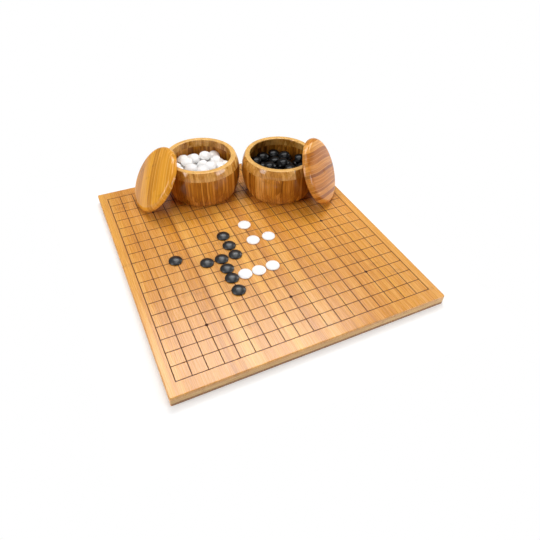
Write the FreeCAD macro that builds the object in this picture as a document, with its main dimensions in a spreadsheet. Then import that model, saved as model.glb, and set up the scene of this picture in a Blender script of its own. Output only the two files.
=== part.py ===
"""Go board with two lidded bowls of stones, as a parametric assembly in millimetres.

The origin is the centre of the board's underside, +Z is up and +Y runs along the board,
from the near end to the far end where the bowls stand.
"""
import FreeCAD, Part
import math
import os
import random
import Sketcher

os.makedirs("parts", exist_ok=True)
doc = FreeCAD.newDocument("GoSet")

# Driving dimensions. Lengths are millimetres and angles are degrees.
dimensions = {
    # board: 19 by 19 lines burnt into the top of a three-ply bamboo panel
    "lineCount": 19, "pitchAcross": 22.0, "pitchAlong": 23.7,
    "marginSide": 14.5, "marginEnd": 21.2,
    "topPly": 5.0, "corePly": 7.0, "bottomPly": 5.0,
    "cornerRound": 2.5, "edgeRound": 1.2,
    "lineWidth": 0.9, "lineDepth": 0.3,
    "starWidth": 4.0, "starDepth": 0.4, "starInset": 3, "starStep": 6,
    # stone: flat underneath, domed on top
    "stoneWidth": 22.0, "stoneHeight": 6.5, "stoneEdge": 1.6,
    "stoneSpacing": 0.3, "setCount": 181,
    # bowl: turned from a block with a glued upper ring
    "bowlWidth": 139.0, "bowlHeight": 74.8, "ringHeight": 15.2,
    "bellyHeight": 44.8, "bellyCurve": 93.0, "shoulderCurve": 41.0, "wall": 10.5, "floorThick": 9.0,
    "footRound": 14.8, "floorRound": 16.0, "rimRound": 1.8, "mouthRound": 1.6,
    # lid: domed outside, with a ring that drops into the mouth and a dish inside the ring
    "lidWidth": 119.0, "lidThick": 14.0, "lidDome": 450.0, "lidShoulder": 8.2,
    "lidEdge": 1.2, "plugDepth": 2.5, "plugGap": 0.8, "plugRim": 4.0,
    "dishDepth": 3.2, "dishRound": 2.4,
    # places on the board
    "whiteAcross": -26.2, "whiteAlong": 174.0, "bowlBearing": -20.9, "bowlSpacing": 3.8,
    "whiteLean": 51.4, "whiteLeanBearing": 182.1, "whiteLeanSlip": 1.6,
    "blackLean": 63.6, "blackLeanBearing": -44.8, "blackLeanSlip": -0.5,
    "leanGap": 0.15, "footGap": 0.1,
    # heaps of stones in the bowls, measured down from the rim
    "whiteHeadroom": 14.5, "blackHeadroom": 15.0, "heapCrown": 0.5,
    "heapGap": 0.28, "whiteTilt": 16.0, "blackTilt": 24.0, "heapFacing": 13.0, "facingBearing": -110.0,
}

sheet = doc.addObject("Spreadsheet::Sheet", "Sizes")
for row, (name, value) in enumerate(dimensions.items(), start=1):
    sheet.set(f"A{row}", name)
    sheet.set(f"B{row}", str(value))
    sheet.setAlias(f"B{row}", name)
doc.recompute()


def size(name):
    """One driving dimension, read back from the sheet."""
    return float(sheet.get(name))


boardThick = size("topPly") + size("corePly") + size("bottomPly")
gaps = size("lineCount") - 1
boardHeight = "(Sizes.bottomPly + Sizes.corePly + Sizes.topPly)"
boardWidth = "(Sizes.lineCount - 1) * Sizes.pitchAcross + 2 * Sizes.marginSide"
boardLength = "(Sizes.lineCount - 1) * Sizes.pitchAlong + 2 * Sizes.marginEnd"
nodes = []


# ---------------------------------------------------------------- sketch helpers
def new_body(label, place=None):
    body = doc.addObject("PartDesign::Body", label)
    body.Label = label
    if place is not None:
        body.Placement = place
    nodes.append(body)
    return body


def new_sketch(body, name, role):
    sketch = body.newObject("Sketcher::SketchObject", name)
    plane = next(item for item in body.Origin.OriginFeatures if item.Role == role)
    sketch.AttachmentSupport = [(plane, "")]
    sketch.MapMode = "FlatFace"
    return sketch


def hold(sketch, kind, *args, expression):
    """Add a driving constraint and bind its value to the sheet."""
    index = sketch.addConstraint(Sketcher.Constraint(kind, *args))
    sketch.setExpression(f"Constraints[{index}]", expression)


def add_rectangle(sketch, width, length, width_now, length_now):
    """A rectangle about the sketch's origin, its two sizes bound to expressions."""
    x, y = width_now / 2, length_now / 2
    corners = [FreeCAD.Vector(*corner, 0) for corner in ((-x, -y), (x, -y), (x, y), (-x, y))]
    for index in range(4):
        sketch.addGeometry(Part.LineSegment(corners[index], corners[(index + 1) % 4]))
    for index in range(4):
        sketch.addConstraint(Sketcher.Constraint("Coincident", index, 2, (index + 1) % 4, 1))
    for index in (0, 2):
        sketch.addConstraint(Sketcher.Constraint("Horizontal", index))
        sketch.addConstraint(Sketcher.Constraint("Vertical", index + 1))
    hold(sketch, "DistanceX", 0, 1, 0, 2, width_now, expression=width)
    hold(sketch, "DistanceY", 1, 1, 1, 2, length_now, expression=length)
    sketch.addConstraint(Sketcher.Constraint("Symmetric", 0, 1, 1, 2, -1, 1))


class Outline:
    """A closed half section in a sketch, walked anticlockwise from the axis."""

    def __init__(self, sketch):
        self.sketch = sketch
        self.ends = []

    def line(self, start, end):
        geometry = Part.LineSegment(FreeCAD.Vector(*start, 0), FreeCAD.Vector(*end, 0))
        self.ends.append((self.sketch.addGeometry(geometry), 1, 2))

    def arc(self, centre, radius, start, end, expression=None):
        """An arc between two points; end before start walks it clockwise."""
        angles = [math.atan2(p[1] - centre[1], p[0] - centre[0]) for p in (start, end)]
        turn = (angles[1] - angles[0] + math.pi) % (2 * math.pi) - math.pi
        circle = Part.Circle(FreeCAD.Vector(*centre, 0), FreeCAD.Vector(0, 0, 1), radius)
        if turn > 0:
            geometry = Part.ArcOfCircle(circle, angles[0], angles[0] + turn)
            self.ends.append((self.sketch.addGeometry(geometry), 1, 2))
        else:
            geometry = Part.ArcOfCircle(circle, angles[0] + turn, angles[0])
            self.ends.append((self.sketch.addGeometry(geometry), 2, 1))
        if expression:
            hold(self.sketch, "Radius", self.ends[-1][0], radius, expression=expression)

    def close(self, smooth):
        """Join each piece to the next; the indices in smooth run on tangentially."""
        for index, (geometry, _, end) in enumerate(self.ends):
            follower, start, _ = self.ends[(index + 1) % len(self.ends)]
            kind = "Tangent" if index in smooth else "Coincident"
            self.sketch.addConstraint(Sketcher.Constraint(kind, geometry, end, follower, start))

    def level(self, *indices):
        for index in indices:
            self.sketch.addConstraint(Sketcher.Constraint("Horizontal", self.ends[index][0]))

    def upright(self, *indices):
        for index in indices:
            self.sketch.addConstraint(Sketcher.Constraint("Vertical", self.ends[index][0]))

    def across(self, index, value, expression, which="start"):
        """Fix the distance of one end (or a centre) from the axis."""
        self._fix("DistanceX", index, value, expression, which)

    def height(self, index, value, expression, which="start"):
        """Fix the height of one end (or a centre) above the sketch's origin."""
        self._fix("DistanceY", index, value, expression, which)

    def _fix(self, kind, index, value, expression, which):
        geometry, start, end = self.ends[index]
        point = {"start": start, "end": end, "centre": 3}[which]
        if value < 0:
            hold(self.sketch, kind, geometry, point, -1, 1, -value, expression=f"-({expression})")
        else:
            hold(self.sketch, kind, -1, 1, geometry, point, value, expression=expression)

    def on_axis(self, index, which="start"):
        geometry, start, end = self.ends[index]
        point = {"start": start, "end": end, "centre": 3}[which]
        self.sketch.addConstraint(Sketcher.Constraint("PointOnObject", geometry, point, -2))


def revolve(body, sketch):
    turned = body.newObject("PartDesign::Revolution", "Turned")
    turned.Profile = sketch
    turned.ReferenceAxis = (sketch, ["V_Axis"])
    turned.Angle = 360.0
    sketch.Visibility = False
    return turned


# ---------------------------------------------------------------- board
def make_ply(label, lift, thick, rounded=None):
    """One glued layer of the panel, with its upper or lower outer edges eased."""
    body = new_body(label)
    body.setExpression("Placement.Base.z", lift)
    sketch = new_sketch(body, "Outline", "XY_Plane")
    width_now = gaps * size("pitchAcross") + 2 * size("marginSide")
    length_now = gaps * size("pitchAlong") + 2 * size("marginEnd")
    add_rectangle(sketch, boardWidth, boardLength, width_now, length_now)
    pad = body.newObject("PartDesign::Pad", "Layer")
    pad.Profile = sketch
    pad.setExpression("Length", thick)
    sketch.Visibility = False
    doc.recompute()
    upright = [f"Edge{index}" for index, edge in enumerate(pad.Shape.Edges, start=1)
               if abs(edge.Vertexes[0].Z - edge.Vertexes[-1].Z) > 0.1]
    corners = body.newObject("PartDesign::Fillet", "Corners")
    corners.Base = (pad, upright)
    corners.setExpression("Radius", "Sizes.cornerRound")
    doc.recompute()
    if rounded:
        box = corners.Shape.BoundBox
        level = box.ZMax if rounded == "upper" else box.ZMin
        rim = [f"Edge{index}" for index, edge in enumerate(corners.Shape.Edges, start=1)
               if abs(edge.BoundBox.ZMin - level) < 0.01 and abs(edge.BoundBox.ZMax - level) < 0.01]
        eased = body.newObject("PartDesign::Fillet", "EasedEdges")
        eased.Base = (corners, rim)
        eased.setExpression("Radius", "Sizes.edgeRound")
        doc.recompute()
    return body


def box_at(name, sizes, corner):
    """A box whose three sizes and lowest corner are bound to expressions."""
    box = doc.addObject("Part::Box", name)
    for side, expression in zip(("Length", "Width", "Height"), sizes):
        box.setExpression(side, expression)
    for axis, expression in zip("xyz", corner):
        box.setExpression(f"Placement.Base.{axis}", expression)
    return box


def gather(name, pieces):
    group = doc.addObject("Part::Compound", name)
    group.Links = pieces
    return group


def cut_from(label, base, tool):
    cut = doc.addObject("Part::Cut", label)
    cut.Base = base
    cut.Tool = tool
    cut.Label = label
    cut.Refine = False
    return cut


def groove_tools(across):
    """The parallel burnt lines of one direction, as cutters that reach past the top face."""
    lines, groove = "(Sizes.lineCount - 1)", "Sizes.lineWidth"
    run, step = "Sizes.pitchAcross", "Sizes.pitchAlong"
    if not across:
        run, step = step, run
    length = f"{lines} * {run} + {groove}"
    floor = f"{boardHeight} - Sizes.lineDepth"
    tools = []
    for index in range(int(size("lineCount"))):
        start = f"-({length}) / 2"
        side = f"({index} - {lines} / 2) * {step} - {groove} / 2"
        sizes, corner = [length, groove, "2 * Sizes.lineDepth"], [start, side, floor]
        if not across:
            sizes[:2], corner[:2] = sizes[1::-1], corner[1::-1]
        tools.append(box_at("LineAcross" if across else "LineAlong", sizes, corner))
    return gather("LinesAcross" if across else "LinesAlong", tools)


def star_tools():
    """Cutters for the nine round star points, three by three."""
    tools = []
    for column in range(3):
        for row in range(3):
            star = doc.addObject("Part::Cylinder", "Star")
            star.setExpression("Radius", "Sizes.starWidth / 2")
            star.setExpression("Height", "2 * Sizes.starDepth")
            for axis, turn, pitch in (("x", column, "pitchAcross"), ("y", row, "pitchAlong")):
                line = f"Sizes.starInset + {turn} * Sizes.starStep - (Sizes.lineCount - 1) / 2"
                star.setExpression(f"Placement.Base.{axis}", f"({line}) * Sizes.{pitch}")
            star.setExpression("Placement.Base.z", f"{boardHeight} - Sizes.starDepth")
            tools.append(star)
    return gather("Stars", tools)


make_ply("board_bottom_ply", "0 mm", "Sizes.bottomPly", "lower")
make_ply("board_core_ply", "Sizes.bottomPly", "Sizes.corePly")
blank = make_ply("board_top_blank", "Sizes.bottomPly + Sizes.corePly", "Sizes.topPly", "upper")
nodes.remove(blank)
ruled = cut_from("RuledAcross", blank, groove_tools(across=True))
ruled = cut_from("RuledBothWays", ruled, groove_tools(across=False))
nodes.append(cut_from("board_top_ply", ruled, star_tools()))
doc.recompute()


# ---------------------------------------------------------------- stones
def stone_section():
    """Centre and radius of the stone's edge arc and of its dome arc."""
    edge = size("stoneEdge")
    edge_across = size("stoneWidth") / 2 - edge
    rise = size("stoneHeight") - edge
    dome = (edge_across ** 2 + rise ** 2 - edge ** 2) / (2 * (rise - edge))
    return edge_across, edge, dome


def make_stone(label, place=None):
    """One stone: flat underside, rounded edge and a domed top, turned about its axis."""
    edge_across, edge, dome = stone_section()
    body = new_body(label, place)
    sketch = new_sketch(body, "Section", "XZ_Plane")
    outline = Outline(sketch)
    top = size("stoneHeight")
    centre = (0.0, top - dome)
    reach = dome / (dome - edge)
    join = (edge_across * reach, centre[1] + (edge - centre[1]) * reach)
    outline.line((0.0, 0.0), (edge_across, 0.0))
    outline.arc((edge_across, edge), edge, (edge_across, 0.0), join, "Sizes.stoneEdge")
    outline.arc(centre, dome, join, (0.0, top))
    outline.line((0.0, top), (0.0, 0.0))
    outline.close(smooth={0, 1})
    sketch.addConstraint(Sketcher.Constraint("Coincident", outline.ends[0][0], 1, -1, 1))
    outline.level(0)
    outline.upright(3)
    outline.on_axis(2, "centre")
    outline.across(0, edge_across, "Sizes.stoneWidth / 2 - Sizes.stoneEdge", "end")
    outline.height(3, top, "Sizes.stoneHeight")
    revolve(body, sketch)
    return body


# Stones in play: colour, nearest line counted from the left and from the near end,
# and how far the stone was set off that crossing, across and along.
playedStones = [
    ("black", 8, 11, 1.8, 4.7), ("black", 8, 10, 2.2, 1.7), ("black", 8, 9, 3.3, 0.7),
    ("black", 7, 9, 1.1, -0.7), ("black", 7, 8, 1.1, -1.2), ("black", 7, 7, 0.7, -0.2),
    ("black", 7, 6, 0.0, -4.3), ("black", 6, 9, -1.3, 0.0), ("black", 4, 10, -1.3, 1.2),
    ("white", 10, 12, 2.2, -5.5), ("white", 10, 10, 0.0, -1.4), ("white", 11, 10, 5.9, -2.4),
    ("white", 8, 7, 0.0, -0.2), ("white", 9, 7, 1.1, -1.4), ("white", 10, 7, 3.3, 0.0),
]


nudges = 200


def played_places():
    """Where the played stones lie, nudged apart until none touch."""
    places = []
    for _, column, line, slip_across, slip_along in playedStones:
        x = (column - 1 - gaps / 2) * size("pitchAcross") + slip_across
        y = (line - 1 - gaps / 2) * size("pitchAlong") + slip_along
        places.append([x, y])
    spacing = size("stoneWidth") + size("stoneSpacing")
    for _ in range(nudges):
        moved = False
        for index, one in enumerate(places):
            for other in places[index + 1:]:
                apart = math.dist(one, other)
                if apart >= spacing - 1e-9:
                    continue
                push = (spacing - apart) / 2 + 1e-6
                for axis in range(2):
                    step = (other[axis] - one[axis]) / apart * push
                    one[axis] -= step
                    other[axis] += step
                moved = True
        if not moved:
            break
    return places


playedCount = {"black": 0, "white": 0}
for (colour, *_), (x, y) in zip(playedStones, played_places()):
    playedCount[colour] += 1
    spot = FreeCAD.Placement(FreeCAD.Vector(x, y, boardThick), FreeCAD.Rotation())
    make_stone(f"{colour}_stone_{playedCount[colour]}", spot)


# ---------------------------------------------------------------- bowls
class Bowl:
    """The bowl's half section, worked out once and used by both of its pieces."""

    def __init__(self):
        self.radius = size("bowlWidth") / 2
        self.top = size("bowlHeight")
        self.joint = self.top - size("ringHeight")
        self.belly = (self.radius - size("bellyCurve"), size("bellyHeight"))
        self.outer = size("bellyCurve")
        self.inner = self.outer - size("wall")
        foot, rim = size("footRound"), size("rimRound")
        floor, mouth = size("floorRound"), size("mouthRound")
        self.foot = self.inside(self.outer - foot, foot)
        self.floor = self.inside(self.inner - floor, size("floorThick") + floor)
        self.curve = size("shoulderCurve")
        joint = self.inside(self.outer, self.joint)
        self.shoulder = tuple(j + (b - j) * self.curve / self.outer for j, b in zip(joint, self.belly))
        self.rim = self.inside(self.curve - rim, self.top - rim, self.shoulder)
        self.mouth = self.inside(self.inner + mouth, self.top - mouth)

    def inside(self, radius, height, centre=None):
        """The point at a height on a circle about a centre, the belly's where none is given."""
        middle = centre or self.belly
        return (middle[0] + math.sqrt(radius ** 2 - (height - middle[1]) ** 2), height)

    def towards(self, point, radius, centre=None):
        """The point at a radius from a centre, in line with another point."""
        middle = centre or self.belly
        reach = radius / math.dist(point, middle)
        return tuple(c + (p - c) * reach for p, c in zip(point, middle))

    def wall_at(self, height):
        """Inner radius of the bowl at a height above its base."""
        if height < self.floor[1]:
            drop = min(self.floor[1] - height, size("floorRound"))
            return self.floor[0] + math.sqrt(size("floorRound") ** 2 - drop ** 2)
        return self.inside(self.inner, min(height, self.mouth[1]))[0]

    def upper_outside(self, steps=16):
        """Points over the upper outside, from the belly to the flat of the rim."""
        edge = self.towards(self.rim, self.curve, self.shoulder)
        arcs = ((self.belly, self.outer, (self.radius, self.belly[1]), self.inside(self.outer, self.joint)),
                (self.shoulder, self.curve, self.inside(self.outer, self.joint), edge),
                (self.rim, size("rimRound"), edge, (self.rim[0], self.top)))
        points = [(self.mouth[0], self.top)]
        for centre, radius, start, end in arcs:
            first, last = (math.atan2(p[1] - centre[1], p[0] - centre[0]) for p in (start, end))
            for step in range(steps + 1):
                angle = first + (last - first) * step / steps
                points.append((centre[0] + radius * math.cos(angle), centre[1] + radius * math.sin(angle)))
        return points


section = Bowl()


bellyAcross = "(Sizes.bowlWidth / 2 - Sizes.bellyCurve)"
jointRise = "((Sizes.bowlHeight - Sizes.ringHeight - Sizes.bellyHeight) / Sizes.bellyCurve)"
shoulderShift = "(Sizes.bellyCurve - Sizes.shoulderCurve)"


def tie_belly(outline, index):
    """Put an arc's centre on the belly's centre."""
    outline.across(index, section.belly[0], bellyAcross, "centre")
    outline.height(index, section.belly[1], "Sizes.bellyHeight", "centre")


def make_bowl_base(label, place):
    """The lower block: round foot, belly wall and a dished floor inside."""
    body = new_body(label, place)
    sketch = new_sketch(body, "Section", "XZ_Plane")
    outline = Outline(sketch)
    floor = size("floorThick")
    outside = section.inside(section.outer, section.joint)
    inside = section.inside(section.inner, section.joint)
    foot_join = section.towards(section.foot, section.outer)
    floor_join = section.towards(section.floor, section.inner)
    outline.line((0.0, 0.0), (section.foot[0], 0.0))
    outline.arc(section.foot, size("footRound"), (section.foot[0], 0.0), foot_join, "Sizes.footRound")
    outline.arc(section.belly, section.outer, foot_join, outside, "Sizes.bellyCurve")
    outline.line(outside, inside)
    outline.arc(section.belly, section.inner, inside, floor_join, "Sizes.bellyCurve - Sizes.wall")
    outline.arc(section.floor, size("floorRound"), floor_join, (section.floor[0], floor),
                "Sizes.floorRound")
    outline.line((section.floor[0], floor), (0.0, floor))
    outline.line((0.0, floor), (0.0, 0.0))
    outline.close(smooth={0, 1, 4, 5})
    sketch.addConstraint(Sketcher.Constraint("Coincident", outline.ends[0][0], 1, -1, 1))
    outline.level(0, 3)
    outline.upright(7)
    tie_belly(outline, 2)
    pair = [outline.ends[index][0] for index in (2, 4)]
    sketch.addConstraint(Sketcher.Constraint("Coincident", pair[0], 3, pair[1], 3))
    outline.height(3, section.joint, "Sizes.bowlHeight - Sizes.ringHeight")
    outline.height(7, floor, "Sizes.floorThick")
    revolve(body, sketch)
    return body


def make_bowl_rim(label, place):
    """The glued upper ring: its outside curves in from the belly to the flat of the rim."""
    body = new_body(label, place)
    sketch = new_sketch(body, "Section", "XZ_Plane")
    outline = Outline(sketch)
    outside = section.inside(section.outer, section.joint)
    inside = section.inside(section.inner, section.joint)
    rim_join = section.towards(section.rim, section.curve, section.shoulder)
    mouth_join = section.towards(section.mouth, section.inner)
    outline.line(inside, outside)
    outline.arc(section.shoulder, section.curve, outside, rim_join, "Sizes.shoulderCurve")
    outline.arc(section.rim, size("rimRound"), rim_join, (section.rim[0], section.top),
                "Sizes.rimRound")
    outline.line((section.rim[0], section.top), (section.mouth[0], section.top))
    outline.arc(section.mouth, size("mouthRound"), (section.mouth[0], section.top), mouth_join,
                "Sizes.mouthRound")
    outline.arc(section.belly, section.inner, mouth_join, inside, "Sizes.bellyCurve - Sizes.wall")
    outline.close(smooth={1, 2, 3, 4})
    outline.level(0)
    outline.across(1, section.shoulder[0], f"{bellyAcross} + {shoulderShift} * sqrt(1 - {jointRise}^2)",
                   "centre")
    outline.height(1, section.shoulder[1], f"Sizes.bellyHeight + {shoulderShift} * {jointRise}", "centre")
    tie_belly(outline, 5)
    outline.height(0, section.joint, "Sizes.bowlHeight - Sizes.ringHeight")
    outline.height(3, section.top, "Sizes.bowlHeight")
    revolve(body, sketch)
    return body


# ---------------------------------------------------------------- lids
class Lid:
    """The lid's half section; heights run outwards from the flange's underside."""

    def __init__(self):
        self.radius = size("lidWidth") / 2
        self.thick = size("lidThick")
        self.edge = size("lidEdge")
        self.plug = section.inside(section.inner, section.mouth[1])[0] - size("plugGap")
        self.dish = self.plug - size("plugRim")
        self.dish_top = size("dishDepth") - size("plugDepth")
        self.dome = (0.0, self.thick - size("lidDome"))
        across = self.radius - size("lidShoulder")
        rise = math.sqrt((size("lidDome") - size("lidShoulder")) ** 2 - across ** 2)
        self.shoulder = (across, self.dome[1] + rise)

    def underside(self, across):
        """Height of the underside at a distance from the lid's axis."""
        if across > self.plug:
            return 0.0
        if across > self.dish:
            return -size("plugDepth")
        over = max(0.0, across - (self.dish - size("dishRound")))
        return self.dish_top - size("dishRound") + math.sqrt(size("dishRound") ** 2 - over ** 2)


cover = Lid()
lidMouth = ("(Sizes.bowlWidth / 2 - Sizes.bellyCurve + sqrt((Sizes.bellyCurve - Sizes.wall)^2"
            " - (Sizes.bowlHeight - Sizes.mouthRound - Sizes.bellyHeight)^2))")
lidPlug = f"({lidMouth} - Sizes.plugGap)"


def make_lid(label, place):
    """Domed cap with a ring that fits the bowl's mouth, dished inside for captured stones."""
    body = new_body(label, place)
    sketch = new_sketch(body, "Section", "XZ_Plane")
    outline = Outline(sketch)
    deep, top = -size("plugDepth"), cover.dish_top
    reach = size("lidDome") / (size("lidDome") - size("lidShoulder"))
    join = tuple(c + (p - c) * reach for p, c in zip(cover.shoulder, cover.dome))
    hollow = (cover.dish - size("dishRound"), top - size("dishRound"))
    foot = (cover.radius - cover.edge, 0.0)
    side = (cover.radius, cover.edge)
    shoulder = (cover.radius, cover.shoulder[1])
    outline.line((0.0, top), (hollow[0], top))
    outline.arc(hollow, size("dishRound"), (hollow[0], top), (cover.dish, hollow[1]), "Sizes.dishRound")
    outline.line((cover.dish, hollow[1]), (cover.dish, deep))
    outline.line((cover.dish, deep), (cover.plug, deep))
    outline.line((cover.plug, deep), (cover.plug, 0.0))
    outline.line((cover.plug, 0.0), foot)
    outline.arc((foot[0], side[1]), cover.edge, foot, side, "Sizes.lidEdge")
    outline.line(side, shoulder)
    outline.arc(cover.shoulder, size("lidShoulder"), shoulder, join, "Sizes.lidShoulder")
    outline.arc(cover.dome, size("lidDome"), join, (0.0, cover.thick), "Sizes.lidDome")
    outline.line((0.0, cover.thick), (0.0, top))
    outline.close(smooth={0, 1, 5, 6, 7, 8})
    outline.level(0, 3, 5)
    outline.upright(2, 4, 7, 10)
    outline.on_axis(9, "centre")
    outline.on_axis(0)
    sketch.addConstraint(Sketcher.Constraint("PointOnObject", outline.ends[5][0], 1, -1))
    outline.across(7, cover.radius, "Sizes.lidWidth / 2")
    outline.across(4, cover.plug, lidPlug)
    outline.across(3, cover.dish, f"{lidPlug} - Sizes.plugRim")
    outline.height(3, deep, "-Sizes.plugDepth")
    outline.height(0, top, "Sizes.dishDepth - Sizes.plugDepth")
    outline.height(10, cover.thick, "Sizes.lidThick")
    revolve(body, sketch)
    return body


leanWindow = 60        # degrees to each side of the bowl's shoulder where a lid may touch it
leanStep = 2           # degrees
leanTries = 60         # most moves that bring a lid up to its bowl
leanShare = 30         # the part of the gap within which the lid counts as resting


def lean_place(bowl, lean, bearing, slip):
    """Stand a lid on the board, tipped back at an angle until it rests on the bowl's shoulder."""
    lean, bearing = math.radians(lean), math.radians(bearing)
    outward = (math.sin(lean), math.cos(lean))
    upward = (-math.cos(lean), math.sin(lean))
    low_edge = cover.edge * outward[1] - (cover.radius - cover.edge) * upward[1] - cover.edge
    low_plug = -size("plugDepth") * outward[1] - cover.plug * upward[1]
    height = size("footGap") - min(low_edge, low_plug)
    touching = []
    for radius, level in section.upper_outside():
        for turn in range(-leanWindow, leanWindow + 1, leanStep):
            angle = math.radians(turn)
            touching.append((radius * math.cos(angle), radius * math.sin(angle) - slip, level))
    distance = section.radius + cover.radius
    for _ in range(leanTries):
        spare = distance
        for near, beside, level in touching:
            out, up = near - distance, level - height
            along = out * upward[0] + up * upward[1]
            across = math.hypot(along, beside)
            if across < cover.radius + size("leanGap"):
                depth = out * outward[0] + up * outward[1]
                for nearby in (across - size("leanGap"), across + size("leanGap")):
                    spare = min(spare, cover.underside(nearby) - depth)
        distance -= (spare - size("leanGap")) / outward[0]
        if abs(spare - size("leanGap")) < size("leanGap") / leanShare:
            break
    ahead, aside = (math.cos(bearing), math.sin(bearing)), (-math.sin(bearing), math.cos(bearing))
    spot = FreeCAD.Vector(bowl[0] + distance * ahead[0] + slip * aside[0],
                          bowl[1] + distance * ahead[1] + slip * aside[1], boardThick + height)
    turn = FreeCAD.Rotation(FreeCAD.Vector(0, 0, 1), math.degrees(bearing))
    tip = FreeCAD.Rotation(FreeCAD.Vector(0, 1, 0), math.degrees(lean))
    print("lid leans", round(math.degrees(lean), 1), "at", round(distance, 2), "from the bowl")
    return FreeCAD.Placement(spot, turn.multiply(tip))


# ---------------------------------------------------------------- heaps
edgeAcross, edgeRadius, domeRadius = stone_section()
stoneRadius = size("stoneWidth") / 2
stoneHigh = size("stoneHeight")
domeCentre = stoneHigh - domeRadius


def stone_rings():
    """Distance from the axis and height of rings that cover a stone's surface."""
    rings = [(0.0, 0.0), (edgeAcross / 2, 0.0), (edgeAcross, 0.0)]
    last = math.atan2(edgeRadius - domeCentre, edgeAcross)
    for step in range(1, 4):
        angle = -math.pi / 2 + (last + math.pi / 2) * step / 3
        rings.append((edgeAcross + edgeRadius * math.cos(angle),
                      edgeRadius + edgeRadius * math.sin(angle)))
    for step in range(1, 5):
        angle = last + (math.pi / 2 - last) * step / 4
        rings.append((domeRadius * math.cos(angle), domeCentre + domeRadius * math.sin(angle)))
    return rings


def ring_points(rings, spacing):
    points = []
    for across, level in rings:
        count = max(1, round(2 * math.pi * across / spacing))
        for step in range(count):
            angle = 2 * math.pi * step / count
            points.append((across * math.cos(angle), across * math.sin(angle), level))
    return points


def dome_rings():
    """Closer rings over the dome alone, which is the side that the next stones land on."""
    steps = [edgeAcross * step / 8 for step in range(9)]
    return [(across, domeCentre + math.sqrt(domeRadius ** 2 - across ** 2)) for across in steps]


trials = 240           # places tried for each stone
settleSteps = 24       # most moves that bring a stone down on its neighbours
mostMisses = 24        # stones in a row that find no place before the bowl counts as full
gapShare = 0.1         # the part of the gap within which a stone counts as at rest
tipHeight = 0.4        # the share of a stone's height about which it tips
tiltLimit = 3          # most tilt, as a multiple of the usual tilt
nearSpread = 2.0       # millimetres between a trial place and the best one so far
nearTilt = 0.12        # radians between a trial tilt and the best one so far
nearTurn = 0.5         # radians between a trial bearing and the best one so far
layers = ("lower", "middle", "upper")
coarsePoints = ring_points(stone_rings()[2::2], size("stoneWidth") / 4)
surfacePoints = ring_points(stone_rings(), size("stoneWidth") / 10)
finePoints = ring_points(stone_rings()[3:6] + dome_rings(), size("stoneWidth") / 24)


def stone_distance(across, level):
    """Distance from a stone's surface to a point given in the stone's own section."""
    if level <= edgeRadius:
        if across <= edgeAcross:
            return -level
        return math.hypot(across - edgeAcross, level - edgeRadius) - edgeRadius
    if across * (edgeRadius - domeCentre) <= edgeAcross * (level - domeCentre):
        return math.hypot(across, level - domeCentre) - domeRadius
    return math.hypot(across - edgeAcross, level - edgeRadius) - edgeRadius


def tipped(tilt, bearing):
    """A turn that tips a flat stone's upper face towards a bearing, both in radians."""
    return FreeCAD.Rotation(FreeCAD.Vector(-math.sin(bearing), math.cos(bearing), 0), math.degrees(tilt))


# poured stones lie like shingles, all leaning a little the same way
facing = tipped(math.radians(size("heapFacing")), math.radians(size("facingBearing")))


class Loose:
    """A stone lying at some tilt: its axes, and the place of the middle of its underside."""

    def __init__(self, x, y, tilt, bearing):
        self.rotation = facing.multiply(tipped(tilt, bearing))
        self.axes = [tuple(self.rotation.multVec(FreeCAD.Vector(*axis)))
                     for axis in ((1, 0, 0), (0, 1, 0), (0, 0, 1))]
        middle = [stoneHigh * tipHeight * part for part in self.axes[2]]
        self.x, self.y, self.z = x - middle[0], y - middle[1], 0.0

    def spread(self, points):
        a, b, c = self.axes
        return [(p * a[0] + q * b[0] + r * c[0] + self.x,
                 p * a[1] + q * b[1] + r * c[1] + self.y,
                 p * a[2] + q * b[2] + r * c[2]) for p, q, r in points]

    def nearest(self, points, lift, limit):
        """Least distance from this stone to points that are raised by lift."""
        least, bound = limit, max(limit, 0.0)
        nx, ny, nz = self.axes[2]
        for px, py, pz in points:
            dx, dy, dz = px - self.x, py - self.y, pz + lift - self.z
            level = dx * nx + dy * ny + dz * nz
            if -bound < level < stoneHigh + bound:
                across = math.sqrt(max(dx * dx + dy * dy + dz * dz - level * level, 0.0))
                if across < stoneRadius + bound:
                    least = min(least, stone_distance(across, level))
                    bound = max(least, 0.0)
        return least


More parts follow.
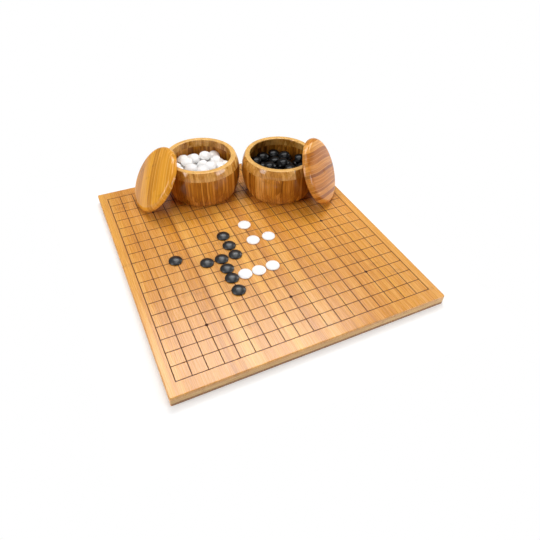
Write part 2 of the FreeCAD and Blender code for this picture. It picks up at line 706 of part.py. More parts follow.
class Heap:
    """Stones dropped one by one into a bowl, each coming to rest on what lies below it."""

    def __init__(self, seed, headroom, tilt, count):
        self.rng = random.Random(seed)
        self.fill = section.top - headroom
        self.tilt = math.radians(tilt)
        self.most = self.tilt * tiltLimit
        self.half = int(section.radius) + 1
        side = range(-self.half, self.half + 1)
        self.level = {(i, j): self.floor_at(math.hypot(i, j)) for i in side for j in side}
        self.stones = []
        misses = 0
        while len(self.stones) < count and misses < mostMisses:
            stone = self.drop()
            if stone is not None and self.settle(stone):
                misses = 0
                continue
            misses += 1
            if stone is not None:
                self.pass_over(stone)

    def floor_at(self, across):
        floor = size("floorThick")
        if across > section.floor[0]:
            over = min(across - section.floor[0], size("floorRound"))
            floor += size("floorRound") - math.sqrt(size("floorRound") ** 2 - over ** 2)
        return floor

    def limit(self, across):
        """The heap is crowned: highest in the middle."""
        return self.fill - size("heapCrown") * (across / section.mouth[0]) ** 2

    def rest(self, stone, across):
        """Height at which a stone would rest on the heap, with how low it would lie."""
        points = stone.spread(coarsePoints)
        lift = max(self.level[round(x), round(y)] - z for x, y, z in points)
        top = lift + max(z for _, _, z in points)
        if top > self.limit(across) or not self.fits(points, lift):
            return None
        stone.z = lift
        return lift + top

    def drop(self):
        """The lowest-lying of many trial places, or nothing when the bowl is full."""
        best, lowest, held = None, None, None
        room = section.inner + section.belly[0] - edgeAcross
        for trial in range(trials):
            if trial < trials / 2 or best is None:
                across = room * math.sqrt(self.rng.random())
                angle = self.rng.uniform(0, 2 * math.pi)
                spot = (across * math.cos(angle), across * math.sin(angle))
                tilt = min(abs(self.rng.gauss(0, self.tilt)), self.most)
                way = self.rng.uniform(0, 2 * math.pi)
            else:
                spot = tuple(place + self.rng.gauss(0, nearSpread) for place in held[:2])
                tilt = min(abs(held[2] + self.rng.gauss(0, nearTilt)), self.most)
                way = held[3] + self.rng.gauss(0, nearTurn)
            across = math.hypot(*spot)
            if across > room:
                continue
            stone = Loose(*spot, tilt, way)
            score = self.rest(stone, across)
            if score is not None and (lowest is None or score < lowest):
                best, lowest, held = stone, score, (*spot, tilt, way)
        return best

    def pass_over(self, stone):
        """Where a stone won't settle, the next one is tried a little higher."""
        for x, y, _ in stone.spread(coarsePoints):
            self.level[round(x), round(y)] += size("heapGap")

    def fits(self, points, lift):
        gap = size("heapGap")
        return all(math.hypot(x, y) < section.wall_at(z + lift) - gap for x, y, z in points)

    def settle(self, stone):
        """Lower the stone until it is one small gap from its nearest neighbour or the floor."""
        gap = size("heapGap")
        reach = 2 * stoneRadius + stoneHigh / 2
        neighbours = [other for other in self.stones
                      if math.hypot(other.x - stone.x, other.y - stone.y) < reach
                      and abs(other.z - stone.z) < reach]
        points = stone.spread(surfacePoints)
        stone.z += stoneHigh / 2
        placed = [(other, [(x, y, z + other.z) for x, y, z in other.spread(surfacePoints)])
                  for other in neighbours]
        floors = min(z - self.floor_at(math.hypot(x, y)) for x, y, z in points)
        for _ in range(settleSteps):
            free = min(floors + stone.z, stoneHigh)
            for other, others in placed:
                free = other.nearest(points, stone.z, free)
                free = stone.nearest(others, 0.0, free)
            if free - gap < gap * gapShare:
                break
            stone.z -= free - gap
        if free < gap / 2 or not self.fits(points, stone.z):
            return False
        self.stones.append(stone)
        for x, y, z in stone.spread(finePoints):
            cell = round(x), round(y)
            self.level[cell] = max(self.level[cell], z + stone.z)
        return True


def pile(label, stones, shape, bowl_place):
    """A group of loose stones as one node of separate solids."""
    pieces = []
    for stone in stones:
        piece = shape.copy()
        piece.Placement = bowl_place.multiply(
            FreeCAD.Placement(FreeCAD.Vector(stone.x, stone.y, stone.z), stone.rotation))
        pieces.append(piece)
    group = doc.addObject("Part::Feature", label)
    group.Label = label
    group.Shape = Part.makeCompound(pieces)
    nodes.append(group)


# ---------------------------------------------------------------- the two sets
bearing = math.radians(size("bowlBearing"))
stride = size("bowlWidth") + size("bowlSpacing")
whitePlace = (size("whiteAcross"), size("whiteAlong"))
blackPlace = (whitePlace[0] + stride * math.cos(bearing), whitePlace[1] + stride * math.sin(bearing))
sample = make_stone("stone_sample")
nodes.remove(sample)
doc.recompute()
for seed, (colour, spot) in enumerate((("white", whitePlace), ("black", blackPlace)), start=7):
    place = FreeCAD.Placement(FreeCAD.Vector(*spot, boardThick), FreeCAD.Rotation())
    make_bowl_base(f"{colour}_bowl_base", place)
    make_bowl_rim(f"{colour}_bowl_rim", place)
    lean = lean_place(spot, *(size(f"{colour}Lean{part}") for part in ("", "Bearing", "Slip")))
    make_lid(f"{colour}_bowl_lid", lean)
    heap = Heap(seed, size(f"{colour}Headroom"), size(f"{colour}Tilt"),
                size("setCount") - playedCount[colour])
    laid = sorted(heap.stones, key=lambda stone: stone.z)
    for index, layer in enumerate(layers):
        start, end = (len(laid) * part // len(layers) for part in (index, index + 1))
        pile(f"{colour}_stones_{layer}", laid[start:end], sample.Shape, place)
    print(colour, "heap of", len(laid), "stones")

# ---------------------------------------------------------------- checks and files
doc.recompute()
for item in doc.Objects:
    if "Invalid" in item.State or "Error" in item.State:
        raise RuntimeError(f"{item.Name} failed: {item.State}")
for node in nodes:
    shape = node.Shape
    if shape.isNull() or not shape.isValid():
        raise RuntimeError(f"{node.Label} has no valid shape")
    shape.exportStep(f"parts/{node.Label}.step")
print(len(nodes), "parts written")
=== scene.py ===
import bpy
import math
import numpy
from mathutils import Matrix, Vector


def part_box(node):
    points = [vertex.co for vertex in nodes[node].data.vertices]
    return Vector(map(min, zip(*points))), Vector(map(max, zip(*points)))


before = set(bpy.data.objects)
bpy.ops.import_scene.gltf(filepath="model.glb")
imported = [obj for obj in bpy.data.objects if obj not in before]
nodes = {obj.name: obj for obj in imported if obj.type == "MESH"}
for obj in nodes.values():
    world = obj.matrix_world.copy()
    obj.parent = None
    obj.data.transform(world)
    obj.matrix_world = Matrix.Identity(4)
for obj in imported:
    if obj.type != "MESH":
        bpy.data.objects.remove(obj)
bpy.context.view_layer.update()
print("frame loaded:", len(nodes), "nodes")


def linear(colour):
    channels = [int(colour[at:at + 2], 16) / 255 for at in (1, 3, 5)]
    return [c / 12.92 if c <= 0.04045 else ((c + 0.055) / 1.055) ** 2.4 for c in channels] + [1.0]


def addNode(tree, kind, inputs=(), out=0, stops=(), **settings):
    node = tree.nodes.new("ShaderNode" + kind)
    for setting, value in settings.items():
        setattr(node, setting, value)
    for key, value in dict(inputs if isinstance(inputs, dict) else enumerate(inputs)).items():
        if isinstance(value, bpy.types.NodeSocket):
            tree.links.new(value, node.inputs[key])
        else:
            node.inputs[key].default_value = value
    for number, (place, colour) in enumerate(stops):
        ends = node.color_ramp.elements
        stop = ends[number] if number < 2 else ends.new(place)
        stop.position = place
        stop.color = linear(colour)
    return node.outputs[out] if node.outputs else node


def newMaterial(name):
    material = bpy.data.materials.new(name)
    material.use_nodes = True
    material.node_tree.nodes.clear()
    return material, material.node_tree


def dress(node, material):
    nodes[node].data.materials.clear()
    nodes[node].data.materials.append(material)


metreToMm = (1000, 1000, 1000)
bamboo = {   # what every bamboo piece shares; lengths in mm, stretches are across, along and through
    "wander": (0.008, 0.018, 0.008),   # how quickly the strips drift off a straight line
    "fibreStretch": (1.0, 0.025, 1.0), "streakStretch": (1.0, 0.03, 1.0),
    "ragged": 0.35, "raggedReach": 10.0, "nodeHalf": 5.0,   # the uneven edge and half length of a culm node
    "fleckStretch": (0.5, 1.6, 0.5), "fleckFrom": 0.52, "fleckTo": 0.62, "fleckLeast": 0.25,
    "jointLeast": 0.4, "jointDip": -0.6,   # the faintest glue line, and how far it sinks beside the fibres
    "poreStretch": (1.0, 0.05, 1.0), "poreFrom": 0.15, "poreTo": 0.5,
    "reliefDepth": 0.0001, "ior": 1.5,   # metres; clear lacquer
}


# planed bamboo strips glued side by side, sanded and lacquered: strips of differing tint with fine fibres
# along them, thin glue lines, brown marks at the culm nodes, and a clear shine over all of it; the fibres
# are drawn about twice as coarse as real ones so that they show
def laminatedBamboo(name, look, centre, across, along, overlay=None):
    material, tree = newMaterial(name)
    across, along = Vector(across).normalized(), Vector(along).normalized()
    turn = Matrix((across, along, across.cross(along)))
    coordinates = addNode(tree, "TexCoord", out="Object")
    local = addNode(tree, "Mapping", {"Vector": coordinates, "Scale": metreToMm,
                                      "Rotation": turn.to_euler(),
                                      "Location": turn @ Vector(centre) * -metreToMm[0]})
    straight = addNode(tree, "SeparateXYZ", [local], "X")
    b = addNode(tree, "SeparateXYZ", [local], "Y")
    c = addNode(tree, "SeparateXYZ", [local], "Z")
    slowly = addNode(tree, "VectorMath", [local, bamboo["wander"]], operation="MULTIPLY")
    wander = addNode(tree, "TexNoise", {"Vector": slowly, "Scale": 1.0, "Detail": 0.0})
    a = addNode(tree, "Math", [wander, look["bend"], straight], operation="MULTIPLY_ADD")

    # strips of uneven thickness, set side by side across the grain
    every = addNode(tree, "Math", [a, look["unevenEvery"]], operation="DIVIDE")
    uneven = addNode(tree, "TexNoise", {"W": every, "Scale": 1.0, "Detail": 0.0}, noise_dimensions="1D")
    shifted = addNode(tree, "Math", [uneven, look["uneven"] * 2, a], operation="MULTIPLY_ADD")
    strip = addNode(tree, "Math", [shifted, look["stripThick"]], operation="DIVIDE")
    stripNumber = addNode(tree, "Math", [strip], operation="FLOOR")
    inStrip = addNode(tree, "Math", [strip], operation="FRACT")
    rowSeed = addNode(tree, "Math", [stripNumber, look["seed"]], operation="ADD")
    rowShift = addNode(tree, "TexWhiteNoise", {"W": rowSeed}, noise_dimensions="1D")
    rowAt = addNode(tree, "Math", [c, look["stripWide"]], operation="DIVIDE")
    row = addNode(tree, "Math", [rowAt, rowShift], operation="ADD")
    rowNumber = addNode(tree, "Math", [row], operation="FLOOR")
    stripKey = addNode(tree, "CombineXYZ", [stripNumber, rowNumber, look["seed"]])
    stripTint = addNode(tree, "TexWhiteNoise", {"Vector": stripKey}, noise_dimensions="3D")
    lamella = addNode(tree, "Math", [shifted, look["lamella"]], operation="DIVIDE")
    lamellaNumber = addNode(tree, "Math", [lamella], operation="FLOOR")
    lamellaSeed = addNode(tree, "Math", [lamellaNumber, look["seed"] + 40.5], operation="ADD")
    lamellaTint = addNode(tree, "TexWhiteNoise", {"W": lamellaSeed}, noise_dimensions="1D")

    # fibres run along the grain, over slower streaks and clouds
    grained = addNode(tree, "CombineXYZ", [a, b, c])
    fine = addNode(tree, "VectorMath", [grained, bamboo["fibreStretch"]], operation="MULTIPLY")
    fibres = addNode(tree, "TexNoise", {"Vector": fine, "Scale": 1 / look["fibre"], "Detail": 3.0,
                                        "Roughness": 0.6})
    slow = addNode(tree, "VectorMath", [grained, bamboo["streakStretch"]], operation="MULTIPLY")
    streaks = addNode(tree, "TexNoise", {"Vector": slow, "Scale": 1 / look["streak"], "Detail": 2.0,
                                         "Roughness": 0.5})
    cloudy = addNode(tree, "TexNoise", {"Vector": local, "Scale": 1 / look["cloud"], "Detail": 2.0})

    tone = addNode(tree, "Math", [stripTint, look["stripShare"], look["toneShift"]],
                   operation="MULTIPLY_ADD")
    for part, share in ((lamellaTint, "lamellaShare"), (streaks, "streakShare"), (fibres, "fibreShare"),
                        (cloudy, "cloudShare")):
        centred = addNode(tree, "Math", [part, 0.5], operation="SUBTRACT")
        tone = addNode(tree, "Math", [centred, look[share], tone], operation="MULTIPLY_ADD")
    colour = addNode(tree, "ValToRGB", [tone], stops=look["tones"])
    other = addNode(tree, "ValToRGB", [tone], stops=look["otherTones"])
    warmKey = addNode(tree, "VectorMath", [stripKey, (7.7, 3.1, 5.3)], operation="ADD")
    warm = addNode(tree, "TexWhiteNoise", {"Vector": warmKey}, noise_dimensions="3D")
    warmShare = addNode(tree, "Math", [warm, look["otherShare"]], operation="MULTIPLY")
    colour = addNode(tree, "Mix", {0: warmShare, 6: colour, 7: other}, 2, data_type="RGBA")

    # culm nodes: where the cane had a joint the strip is browner and flecked
    phase = addNode(tree, "Math", [lamellaTint, look["nodeEvery"], b], operation="MULTIPLY_ADD")
    fromNode = addNode(tree, "Math", [phase, look["nodeEvery"] / 2], operation="PINGPONG")
    ragged = addNode(tree, "TexNoise", {"Vector": local, "Scale": bamboo["ragged"], "Detail": 2.0})
    reach = addNode(tree, "Math", [ragged, bamboo["raggedReach"], fromNode], operation="MULTIPLY_ADD")
    nodeMark = addNode(tree, "MapRange", {"Value": reach, "From Min": bamboo["nodeHalf"] + look["nodeLong"],
                                          "From Max": bamboo["nodeHalf"], "To Min": 0.0, "To Max": 1.0},
                       interpolation_type="SMOOTHSTEP")
    fleckAt = addNode(tree, "VectorMath", [local, bamboo["fleckStretch"]], operation="MULTIPLY")
    flecks = addNode(tree, "TexNoise", {"Vector": fleckAt, "Scale": 1.0, "Detail": 1.0})
    fleckMask = addNode(tree, "MapRange", {"Value": flecks, "From Min": bamboo["fleckFrom"],
                                           "From Max": bamboo["fleckTo"],
                                           "To Min": bamboo["fleckLeast"], "To Max": 1.0})
    flecked = addNode(tree, "Math", [nodeMark, fleckMask], operation="MULTIPLY")
    nodeShown = addNode(tree, "Math", [flecked, look["nodeStrength"]], operation="MULTIPLY")
    colour = addNode(tree, "Mix", {0: nodeShown, 6: colour, 7: linear(look["nodeColour"])}, 2,
                     data_type="RGBA")

    # glue joints between the strips
    fromJoint = addNode(tree, "Math", [inStrip, 0.5], operation="PINGPONG")
    jointLine = addNode(tree, "MapRange", {"Value": fromJoint, "From Max": 0.0,
                                           "From Min": look["joint"] / look["stripThick"],
                                           "To Min": 0.0, "To Max": look["jointStrength"]},
                        interpolation_type="SMOOTHSTEP")
    jointVaries = addNode(tree, "Math", [rowShift, bamboo["jointLeast"]], operation="ADD")
    jointShown = addNode(tree, "Math", [jointLine, jointVaries], operation="MULTIPLY")
    colour = addNode(tree, "Mix", {0: jointShown, 6: colour, 7: linear(look["jointColour"])}, 2,
                     data_type="RGBA")

    # cut ends of the strips, where the surface crosses the grain
    normal = addNode(tree, "TexCoord", out="Normal")
    facing = addNode(tree, "VectorMath", [normal, tuple(along)], "Value", operation="DOT_PRODUCT")
    square = addNode(tree, "Math", [facing], operation="ABSOLUTE")
    endMask = addNode(tree, "MapRange", {"Value": square, "From Min": look["endFrom"],
                                         "From Max": look["endTo"], "To Min": 0.0,
                                         "To Max": look["endShare"]}, interpolation_type="SMOOTHSTEP")
    poreAt = addNode(tree, "VectorMath", [local, bamboo["poreStretch"]], operation="MULTIPLY")
    pores = addNode(tree, "TexVoronoi", {"Vector": poreAt, "Scale": 1 / look["pore"]})
    poreMix = addNode(tree, "MapRange", {"Value": pores, "From Min": bamboo["poreFrom"],
                                         "From Max": bamboo["poreTo"]})
    endColour = addNode(tree, "Mix", {0: poreMix, 6: linear(look["endDark"]),
                                      7: linear(look["endPale"])}, 2, data_type="RGBA")
    endColour = addNode(tree, "Mix", {0: look["endStrips"], 6: endColour, 7: colour}, 2, data_type="RGBA")
    colour = addNode(tree, "Mix", {0: endMask, 6: colour, 7: endColour}, 2, data_type="RGBA")

    relief = addNode(tree, "Math", [jointLine, bamboo["jointDip"], fibres], operation="MULTIPLY_ADD")
    bump = addNode(tree, "Bump", {"Height": relief, "Strength": look["bump"],
                                  "Distance": bamboo["reliefDepth"]})
    roughness = addNode(tree, "MapRange", {"Value": fibres, "From Min": 0.25, "From Max": 0.75,
                                           "To Min": look["roughness"][0], "To Max": look["roughness"][1]})
    if overlay:
        colour, roughness = overlay(tree, coordinates, colour, roughness)
    shader = addNode(tree, "BsdfPrincipled", {"Base Color": colour, "Roughness": roughness, "Normal": bump,
                                              "IOR": bamboo["ior"], "Specular IOR Level": look["shine"]})
    addNode(tree, "OutputMaterial", {"Surface": shader})
    return material


# board: three crossed plies of carbonised bamboo under a satin lacquer, which dims its mirror images to a
# soft haze; lengths in mm
boardLook = {
    "stripThick": 5.6, "stripWide": 40.0, "lamella": 21.0, "uneven": 2.2, "unevenEvery": 9.0, "seed": 3.0,
    "fibre": 0.9, "streak": 4.0, "cloud": 70.0,
    "stripShare": 0.26, "lamellaShare": 0.34, "streakShare": 0.55, "fibreShare": 0.35, "cloudShare": 0.25,
    "toneShift": 0.38, "otherShare": 0.5,
    "tones": [(0.0, "#a9671a"), (1.0, "#edb24e"), (0.45, "#d08a2a")],
    "otherTones": [(0.0, "#a76a32"), (1.0, "#e4ad68"), (0.45, "#c98744")],
    "nodeEvery": 270.0, "nodeLong": 5.0, "nodeStrength": 0.5, "nodeColour": "#8e5520",
    "joint": 0.35, "jointStrength": 0.3, "jointColour": "#9a6430",
    "endFrom": 0.75, "endTo": 0.95, "endShare": 1.0, "endStrips": 0.5, "pore": 1.1,
    "endDark": "#a2703f", "endPale": "#dcb884",
    "bump": 0.12, "roughness": (0.23, 0.31), "shine": 0.65, "bend": 1.0,
}
etching = {   # millimetres
    "halfAcross": 198.0, "halfAlong": 213.3,   # outer lines, from the board's centre
    "pitchAcross": 22.0, "pitchAlong": 23.7, "halfLine": 0.45, "scorch": 0.38, "below": 0.04,
    "starSteps": 6, "halfStar": 2.3, "starScorch": 0.7,   # a star dot stands every so many lines
    "colour": "#361402", "scorchColour": "#5e2a04",
    "uneven": 0.25, "scorchLeast": 0.4, "charRough": 0.75,
}


# lines burnt in by a laser: charred matt grooves, nearly black, with a warm brown edge of uneven depth
def burntLines(tree, coordinates, colour, roughness):
    at = addNode(tree, "VectorMath", [coordinates, metreToMm], operation="MULTIPLY")
    topFace = nodes["board_top_ply"].bound_box[6][2] * metreToMm[0]
    edge = etching["halfLine"] + etching["scorch"]
    inside, nearLine, corner = None, None, []
    for axis, half, pitch in (("X", etching["halfAcross"], etching["pitchAcross"]),
                              ("Y", etching["halfAlong"], etching["pitchAlong"])):
        along = addNode(tree, "SeparateXYZ", [at], axis)
        shifted = addNode(tree, "Math", [along, half], operation="ADD")
        away = addNode(tree, "Math", [shifted, pitch / 2], operation="PINGPONG")
        near = addNode(tree, "MapRange", {"Value": away, "From Min": edge, "From Max": etching["halfLine"]},
                       interpolation_type="SMOOTHSTEP")
        size = addNode(tree, "Math", [along], operation="ABSOLUTE")
        within = addNode(tree, "Math", [size, half + edge], operation="LESS_THAN")
        nearLine = near if nearLine is None else addNode(tree, "Math", [nearLine, near], operation="MAXIMUM")
        inside = within if inside is None else addNode(tree, "Math", [inside, within], operation="MULTIPLY")
        corner.append(addNode(tree, "Math", [along, pitch * etching["starSteps"] / 2], operation="PINGPONG"))
    toStar = addNode(tree, "CombineXYZ", corner)
    fromStar = addNode(tree, "VectorMath", [toStar], "Value", operation="LENGTH")
    star = addNode(tree, "MapRange", {"Value": fromStar, "From Max": etching["halfStar"],
                                      "From Min": etching["halfStar"] + etching["starScorch"]},
                   interpolation_type="SMOOTHSTEP")
    nearLine = addNode(tree, "Math", [nearLine, star], operation="MAXIMUM")
    level = addNode(tree, "SeparateXYZ", [at], "Z")
    sunk = addNode(tree, "Math", [level, topFace - etching["below"]], operation="LESS_THAN")
    uneven = addNode(tree, "TexNoise", {"Vector": at, "Scale": etching["uneven"], "Detail": 2.0})
    burnt = addNode(tree, "Math", [uneven, etching["scorchLeast"]], operation="ADD")
    nearLine = addNode(tree, "Math", [nearLine, inside], operation="MULTIPLY")
    scorch = addNode(tree, "Math", [nearLine, burnt], operation="MULTIPLY")
    groove = addNode(tree, "Math", [sunk, inside], operation="MULTIPLY")
    colour = addNode(tree, "Mix", {0: scorch, 6: colour, 7: linear(etching["scorchColour"])}, 2,
                     data_type="RGBA")
    colour = addNode(tree, "Mix", {0: groove, 6: colour, 7: linear(etching["colour"])}, 2, data_type="RGBA")
    charred = addNode(tree, "Math", [groove, scorch], operation="MAXIMUM")
    roughness = addNode(tree, "Math", [charred, etching["charRough"], roughness], operation="MULTIPLY_ADD")
    return colour, roughness


origin = (0.0, 0.0, 0.0)
topLook = dict(boardLook, endDark="#8a5a30", endPale="#c09866")
# the core is uncarbonised bamboo, a pale straw layer between the two browner ones; its tones are darkened
# somewhat as painted shade for the shaded edge of the board
coreLook = dict(boardLook, seed=11.0, stripThick=7.0, stripWide=20.0, otherShare=0.1,
                tones=[(0.0, "#a87a42"), (1.0, "#e4c48c"), (0.5, "#c89e62")])
# the back ply's cut ends are painted darkest of the three, a painted shade standing for the contact shadow
# along the foot of the board
bottomLook = dict(boardLook, seed=19.0, endStrips=0.2, endDark="#4a2c14", endPale="#7a522c")
dress("board_top_ply", laminatedBamboo("etchedBambooPly", topLook, origin, (1, 0, 0), (0, 1, 0), burntLines))
dress("board_core_ply", laminatedBamboo("paleBambooCore", coreLook, origin, (0, 1, 0), (1, 0, 0)))
dress("board_bottom_ply", laminatedBamboo("bambooBackPly", bottomLook, origin, (1, 0, 0), (0, 1, 0)))
print("board dressed")

# bowls: turned from blocks of upright bamboo strips and gloss lacquered, so that the lamps show in them as
# clear bright patches over narrow strips of brown and honey; lengths in mm
bowlLook = {
    "stripThick": 4.6, "stripWide": 13.0, "lamella": 14.0, "uneven": 2.0, "unevenEvery": 7.0, "seed": 5.0,
    "fibre": 0.8, "streak": 2.6, "cloud": 40.0,
    "stripShare": 0.6, "lamellaShare": 0.3, "streakShare": 0.8, "fibreShare": 0.5, "cloudShare": 0.2,
    "toneShift": 0.15, "otherShare": 0.4,
    "tones": [(0.0, "#6b3a0c"), (1.0, "#e6ad52"), (0.35, "#ac6a18"), (0.7, "#cf8c30")],
    "otherTones": [(0.0, "#6c360c"), (1.0, "#d89a58"), (0.5, "#ad6524")],
    "nodeEvery": 240.0, "nodeLong": 4.0, "nodeStrength": 0.4, "nodeColour": "#6b3d14",
    "joint": 0.45, "jointStrength": 0.75, "jointColour": "#43230a",
    "endFrom": 0.5, "endTo": 0.8, "endShare": 0.9, "endStrips": 0.25, "pore": 1.0,
    "endDark": "#cf9440", "endPale": "#f0bf6c",
    "bump": 0.01, "roughness": (0.11, 0.15), "shine": 0.5, "bend": 1.5,
}
ringLook = {   # the ring is cut from a paler block, and its tones are raised further as painted light, since the upper ring is the part that faces the lamps
    "stripShare": 0.5, "toneShift": 0.25, "jointStrength": 0.35, "otherShare": 0.25,
    "tones": [(0.0, "#87500f"), (1.0, "#eebe6c"), (0.45, "#c28634")],
}
bowlGrain = {   # degrees the strips are turned, and the seed of their tints
    "white": {"base": (-25.0, 5.0), "rim": (-3.0, 23.0)},
    "black": {"base": (-38.0, 14.0), "rim": (14.0, 32.0)},
}

for colour, parts in bowlGrain.items():
    low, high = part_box(colour + "_bowl_base")
    centre = (low + high) / 2
    for part, (turned, seed) in parts.items():
        angle = math.radians(turned)
        look = dict(bowlLook, seed=seed)
        if part == "rim":
            look.update(ringLook)
        material = laminatedBamboo("lacqueredBamboo_" + colour + "_" + part, look, centre,
                                   (math.cos(angle), math.sin(angle), 0), (0, 0, 1))
        dress(colour + "_bowl_" + part, material)
print("bowls dressed")

# lids: domed discs of the same bamboo with the strips lying flat across them, broad and pale jointed, the
# white stones' lid golden and the black stones' lid browner with wavy strips
lidLook = {
    "white": dict(bowlLook, seed=31.0, stripThick=8.0, stripWide=60.0, stripShare=0.4, toneShift=0.3,
                  tones=[(0.0, "#a1600a"), (1.0, "#f0ac34"), (0.45, "#d08a1c")], shine=0.35,
                  jointColour="#f2c26a", jointStrength=0.55, joint=0.8, otherShare=0.1, endShare=0.2,
                  fibreShare=0.25),
    "black": dict(bowlLook, seed=47.0, stripThick=7.0, stripWide=60.0, stripShare=0.7, toneShift=0.12,
                  tones=[(0.0, "#83440a"), (1.0, "#eaa84e"), (0.45, "#b86c10")], shine=0.3, bend=6.0,
                  otherTones=[(0.0, "#8a4606"), (1.0, "#e2a050"), (0.5, "#b4681a")],
                  jointColour="#efba70", jointStrength=0.5, joint=0.7, otherShare=0.5, endShare=0.2,
                  fibreShare=0.3),
}
lidGrain = {"white": 42.0, "black": 72.0}   # degrees from straight downhill

for colour, turned in lidGrain.items():
    lid = nodes[colour + "_bowl_lid"]
    points = numpy.array([vertex.co for vertex in lid.data.vertices])
    centre = points.mean(axis=0)
    axes = numpy.linalg.eigh(numpy.cov((points - centre).T))[1]
    axis = Vector(axes[:, 0])   # a disc is thinnest along its axis
    axis = axis if axis.z > 0 else -axis
    downhill = (axis * axis.z - Vector((0, 0, 1))).normalized()
    grain = Matrix.Rotation(math.radians(turned), 3, axis) @ downhill
    material = laminatedBamboo("lacqueredBamboo_" + colour + "_lid", lidLook[colour], centre,
                               axis.cross(grain), grain)
    dress(colour + "_bowl_lid", material)
print("lids dressed")


# sintered stone, pressed and then ground: an even colour with faint clouds under a smooth face; the grit
# is drawn in half-millimetre grains, far coarser than the real polish, so that it shows at all
def sinteredStone(name, look):
    material, tree = newMaterial(name)
    coordinates = addNode(tree, "TexCoord", out="Object")
    at = addNode(tree, "VectorMath", [coordinates, metreToMm], operation="MULTIPLY")
    clouds = addNode(tree, "TexNoise", {"Vector": at, "Scale": 1 / look["cloud"], "Detail": 3.0,
                                        "Roughness": 0.6})
    grit = addNode(tree, "TexNoise", {"Vector": at, "Scale": 1 / look["grit"], "Detail": 2.0})
    centred = addNode(tree, "Math", [grit, 0.5], operation="SUBTRACT")
    tone = addNode(tree, "Math", [centred, look["gritShare"], clouds], operation="MULTIPLY_ADD")
    colour = addNode(tree, "ValToRGB", [tone], stops=look["tones"])
    roughness = addNode(tree, "MapRange", {"Value": clouds, "From Min": 0.3, "From Max": 0.7,
                                           "To Min": look["roughness"][0], "To Max": look["roughness"][1]})
    bump = addNode(tree, "Bump", {"Height": grit, "Strength": look["bump"],
                                  "Distance": look["reliefDepth"]})
    shader = addNode(tree, "BsdfPrincipled", {"Base Color": colour, "Roughness": roughness, "Normal": bump,
                                              "IOR": look["ior"], "Specular IOR Level": look["shine"],
                                              "Subsurface Weight": look["glow"],
                                              "Subsurface Radius": look["glowReach"]})
    addNode(tree, "OutputMaterial", {"Surface": shader})
    return material


# white stones: polished and a little translucent, with soft edges and no hard highlight
whiteStoneLook = {
    "cloud": 9.0, "grit": 0.5, "gritShare": 0.2, "tones": [(0.25, "#f9f9f6"), (0.75, "#ffffff")],
    "roughness": (0.22, 0.32), "bump": 0.04, "ior": 1.52, "shine": 0.35, "glow": 0.45,
    "reliefDepth": 0.0001, "glowReach": (0.003, 0.003, 0.003),   # metres
}
# black stones: a satin blue-black with a broad, dim highlight on the crown
blackStoneLook = {
    "cloud": 7.0, "grit": 0.5, "gritShare": 0.3, "tones": [(0.25, "#05070a"), (0.75, "#0c1016")],
    "roughness": (0.3, 0.36), "bump": 0.06, "ior": 1.52, "shine": 0.6, "glow": 0.0,
    "reliefDepth": 0.0001, "glowReach": (0.003, 0.003, 0.003),
}
# those in the bowl get a darker copy of the black finish with less shine, a painted shade for the inside of
# the bowl; being smoother, they show small sharp glints
heapShadedBlackLook = dict(blackStoneLook, roughness=(0.15, 0.2), shine=0.15,
                       tones=[(0.25, "#030304"), (0.75, "#08080a")])
stoneFinish = {"white_stone": sinteredStone("polishedWhiteStone", whiteStoneLook),
               "black_stone": sinteredStone("satinBlackStone", blackStoneLook),
               "black_stones": sinteredStone("polishedBlackStonePaintedShade", heapShadedBlackLook)}
stoneFinish["white_stones"] = stoneFinish["white_stone"]
for node in nodes:
    if "_stone" in node:
        dress(node, stoneFinish["_".join(node.split("_")[:2])])
print("stones dressed")

# floor, daylight and lamps: a white sweep whose shadow fades out beside the board
studio = {   # metres and strengths
    "floorSize": 14.0, "floorDrop": 0.00005, "floorColour": "#ffffff",
    "boardHalf": (0.2125, 0.2345), "floorGlow": 0.25, "glowWidth": 0.08,   # white this far past the board
    "fill": 0.15, "wallLow": 0.2, "wallHigh": 0.5, "wallFrom": 0.05, "wallTo": 0.6,   # by height in the sky
}
lamps = {   # place and aim in metres, size across and high, watts
    "softboxBack": {"place": (0.22, 0.58, 1.3), "aim": (0.0, -0.1, 0.0), "size": (1.05, 0.5), "power": 12.0},
    "panelLeft": {"place": (-1.3, -0.22, 0.72), "aim": (0.0, 0.12, 0.05), "size": (0.5, 1.0), "power": 10.5},
    "panelFar": {"place": (1.45, 0.4, 0.75), "aim": (0.0, 0.1, 0.03), "size": (0.5, 0.5), "power": 4.0},
    "panelRight": {"place": (0.95, -1.0, 0.45), "aim": (0.0, 0.12, 0.05), "size": (0.8, 0.42), "power": 8.4},
    "panelTop": {"place": (0.0, -0.1, 1.6), "aim": (0.0, 0.0, 0.0), "size": (0.8, 0.8), "power": 5.6},
}

bpy.ops.object.select_all(action="DESELECT")
bpy.ops.mesh.primitive_plane_add(size=studio["floorSize"], location=(0, 0, -studio["floorDrop"]))
floor = bpy.context.object
floor.name = "studio_floor"
floorPaint, tree = newMaterial("whiteSweep")
paint = addNode(tree, "BsdfDiffuse", {"Color": linear(studio["floorColour"])})
glow = addNode(tree, "Emission", {"Color": linear(studio["floorColour"]), "Strength": 1.0})
seen, mirrored, through = [addNode(tree, "LightPath", out=ray)
                           for ray in ("Is Camera Ray", "Is Glossy Ray", "Is Transmission Ray")]
seen = addNode(tree, "Math", [seen, mirrored], operation="MAXIMUM")
seen = addNode(tree, "Math", [seen, through], operation="MAXIMUM")
aside = addNode(tree, "VectorMath", [addNode(tree, "TexCoord", out="Object")], operation="ABSOLUTE")
aside = addNode(tree, "VectorMath", [aside, (*studio["boardHalf"], 0.0)], operation="SUBTRACT")
asideX = addNode(tree, "SeparateXYZ", [aside], "X")
asideY = addNode(tree, "SeparateXYZ", [aside], "Y")
away = addNode(tree, "Math", [asideX, asideY], operation="MAXIMUM")
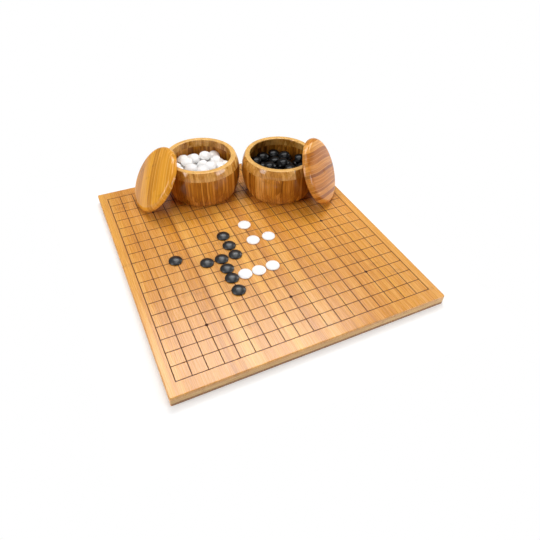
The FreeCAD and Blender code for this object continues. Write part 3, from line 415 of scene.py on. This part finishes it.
share = addNode(tree, "MapRange", {"Value": away, "From Min": 0.0, "From Max": studio["glowWidth"],
                                   "To Min": studio["floorGlow"], "To Max": 1.0})
share = addNode(tree, "Math", [seen, share], operation="MULTIPLY")
addNode(tree, "OutputMaterial", {"Surface": addNode(tree, "MixShader", [share, paint, glow])})
floor.data.materials.append(floorPaint)

# the world is white to the camera, a soft grey wall in mirror images, and a low fill on the object
world = bpy.data.worlds.new("whiteStudio")
bpy.context.scene.world = world
world.use_nodes = True
tree = world.node_tree
tree.nodes.clear()
viewed, mirrored, through = [addNode(tree, "LightPath", out=ray)
                             for ray in ("Is Camera Ray", "Is Glossy Ray", "Is Transmission Ray")]
mirrored = addNode(tree, "Math", [mirrored, through], operation="MAXIMUM")
upward = addNode(tree, "SeparateXYZ", [addNode(tree, "TexCoord", out="Generated")], "Z")
wall = addNode(tree, "MapRange", {"Value": upward, "From Min": studio["wallFrom"],
                                  "From Max": studio["wallTo"],
                                  "To Min": studio["wallLow"], "To Max": studio["wallHigh"]})
strength = addNode(tree, "MapRange", {"Value": mirrored, "To Min": studio["fill"], "To Max": wall})
strength = addNode(tree, "MapRange", {"Value": viewed, "To Min": strength, "To Max": 1.0})
background = addNode(tree, "Background", {"Color": linear("#ffffff"), "Strength": strength})
addNode(tree, "OutputWorld", {"Surface": background})

for name, lamp in lamps.items():
    data = bpy.data.lights.new(name, "AREA")
    data.shape = "RECTANGLE"
    data.size, data.size_y = lamp["size"]
    data.energy = lamp["power"]
    holder = bpy.data.objects.new(name, data)
    bpy.context.scene.collection.objects.link(holder)
    holder.location = lamp["place"]
    holder.rotation_euler = (Vector(lamp["aim"]) - Vector(lamp["place"])).to_track_quat("-Z", "Y").to_euler()
    holder.visible_camera = False
print("studio lit")

cameraSettings = {
    "place": (-0.23986, -0.55881, 0.52789), "turn": (46.355, -1.109, -25.026),   # metres and degrees
    "lens": 31.45, "sensor": 36.0, "nearest": 0.01,   # two in millimetres, one in metres
}
cameraData = bpy.data.cameras.new("camera")
cameraData.lens = cameraSettings["lens"]
cameraData.sensor_width = cameraSettings["sensor"]
cameraData.clip_start = cameraSettings["nearest"]
camera = bpy.data.objects.new("camera", cameraData)
bpy.context.scene.collection.objects.link(camera)
camera.location = cameraSettings["place"]
camera.rotation_euler = [math.radians(angle) for angle in cameraSettings["turn"]]
bpy.context.scene.camera = camera
bpy.context.scene.view_settings.view_transform = "Standard"
print("camera placed")
